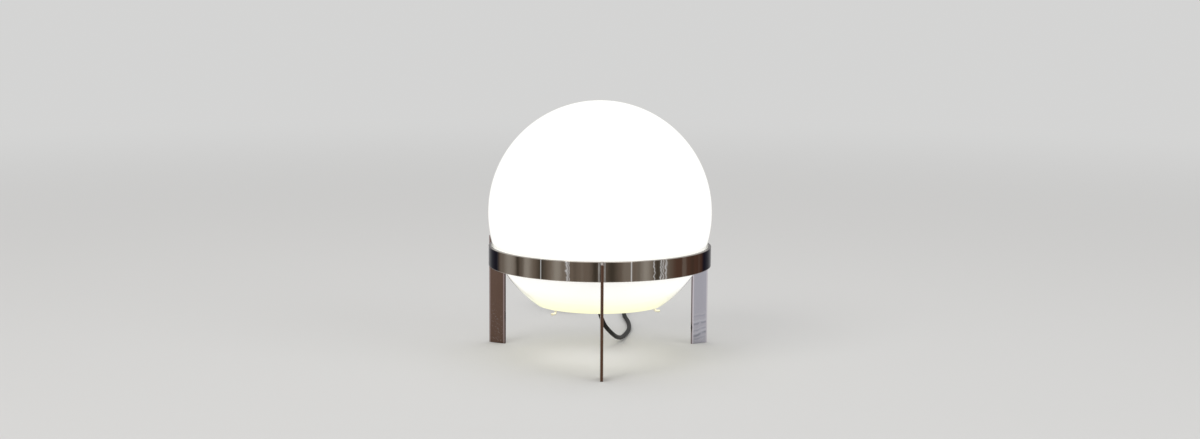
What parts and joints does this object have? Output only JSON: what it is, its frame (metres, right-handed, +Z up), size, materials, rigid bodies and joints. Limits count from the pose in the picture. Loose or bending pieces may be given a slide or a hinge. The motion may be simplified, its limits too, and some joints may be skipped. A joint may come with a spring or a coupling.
{
  "type": "table lamp",
  "caption": "Opal glass globe resting in a flat-bar ring on blade legs, lit from a screw lampholder that spring arms clip into its mouth, with an in-line switched cord and plug.",
  "frame": {"origin": "on the table surface, under the middle of the lamp's own box (the lamp without its cord); the ring's axis stands 10 mm behind it", "axes": "+Z up; the front leg points towards -Y; +X to the right seen from the front"},
  "size_m": [0.2558, 0.5071, 0.291],
  "materials": {
    "chrome": "polished chrome plate over flat bar",
    "clear_strip": "clear soft plastic strip",
    "opal_glass": "opal white blown glass, lit from inside",
    "spring_wire": "bright drawn spring wire",
    "zinc_steel": "zinc plated steel",
    "black_moulding": "black moulded resin",
    "ceramic": "glazed white ceramic",
    "brass": "pressed brass",
    "cord_sheath": "black soft sheath",
    "core_sheath": "brown core insulation",
    "frosted_glass": "frosted bulb glass, lit",
    "bulb_metal": "nickelled screw cap",
    "black_glass": "black glass insulator",
    "solder": "solder contact",
    "clear_glass": "clear glass mount",
    "lead_metal": "nickel wire",
    "hot_filament": "glowing filament",
    "tie_fabric": "woven hook-and-loop tie",
    "switch_case": "black moulded case",
    "rocker": "black rocker",
    "plug_moulding": "black moulded plug"
  },
  "bodies": {
    "stand": {"ring_band": "chrome", "leg_front": "chrome", "leg_left": "chrome", "leg_right": "chrome", "weld_fillets": "chrome", "seat_strip": "clear_strip", "cord_drop": "cord_sheath", "cord_floor": "cord_sheath", "cord_link": "cord_sheath", "cord_coil": "cord_sheath", "cord_end": "cord_sheath", "coil_tie": "tie_fabric", "switch_case_lower": "switch_case", "switch_case_upper": "switch_case", "switch_contacts": "brass", "switch_screws": "zinc_steel", "rocker_pin": "zinc_steel", "plug_body": "plug_moulding", "plug_blades": "brass"},
    "holder": {"spring_collar": "zinc_steel", "shade_ring": "black_moulding", "strain_relief": "cord_sheath", "gland_nut": "zinc_steel", "holder_cap": "black_moulding", "holder_barrel": "black_moulding", "holder_insert": "ceramic", "terminal_screws": "zinc_steel", "screw_shell": "brass", "centre_contact": "brass", "cord_tail": "cord_sheath", "lead_wires": "core_sheath"},
    "globe": {"glass_globe": "opal_glass"},
    "arm_front": {"spring_arm_front": "spring_wire"},
    "arm_right": {"spring_arm_right": "spring_wire"},
    "arm_rear": {"spring_arm_rear": "spring_wire"},
    "bulb_contact": {"bulb_tip": "solder"},
    "bulb": {"bulb_cap": "bulb_metal", "bulb_insulator": "black_glass", "bulb_glass": "frosted_glass", "bulb_stem": "clear_glass", "bulb_leads": "lead_metal", "bulb_filament": "hot_filament"},
    "rocker": {"switch_rocker": "rocker"}
  },
  "joints": [
    {"name": "lamp_lift", "type": "slide", "parent": "stand", "child": "holder", "axis": [0, 0, 1], "range_m": [0, 0.09], "deforming": ["cord_drop"]},
    {"name": "globe_lift", "type": "slide", "parent": "holder", "child": "globe", "axis": [0, 0, 1], "range_m": [0, 0.18]},
    {"name": "arm_front_flex", "type": "hinge", "parent": "holder", "child": "arm_front", "pos_m": [-0.02236, -0.00909, 0.1088], "axis": [0.6494, -0.7604, 0], "range_deg": [0, 5], "stiffness_Nm_per_rad": 1.2, "springref_deg": -2.86},
    {"name": "arm_right_flex", "type": "hinge", "parent": "holder", "child": "arm_right", "pos_m": [0.02771, 0.00019, 0.1088], "axis": [0.3338, 0.9426, 0], "range_deg": [0, 5], "stiffness_Nm_per_rad": 1.2, "springref_deg": -2.86},
    {"name": "arm_rear_flex", "type": "hinge", "parent": "holder", "child": "arm_rear", "pos_m": [-0.00536, 0.03891, 0.1088], "axis": [-0.9833, -0.1822, 0], "range_deg": [0, 5], "stiffness_Nm_per_rad": 1.2, "springref_deg": -2.86},
    {"name": "bulb_rise", "type": "slide", "parent": "holder", "child": "bulb_contact", "axis": [0, 0, 1], "range_m": [0, 0.0164]},
    {"name": "bulb_turn", "type": "hinge", "parent": "bulb_contact", "child": "bulb", "pos_m": [0, 0.01, 0.12], "axis": [0, 0, 1], "range_deg": [0, 1620]},
    {"name": "rocker_tip", "type": "hinge", "parent": "stand", "child": "rocker", "pos_m": [0.036, 0.307, 0.013], "axis": [-1, 0, 0], "range_deg": [0, 14]}
  ],
  "couplings": [
    {"joint": "bulb_rise", "follows": "bulb_turn", "m_per_rad": 0.0005775}
  ]
}
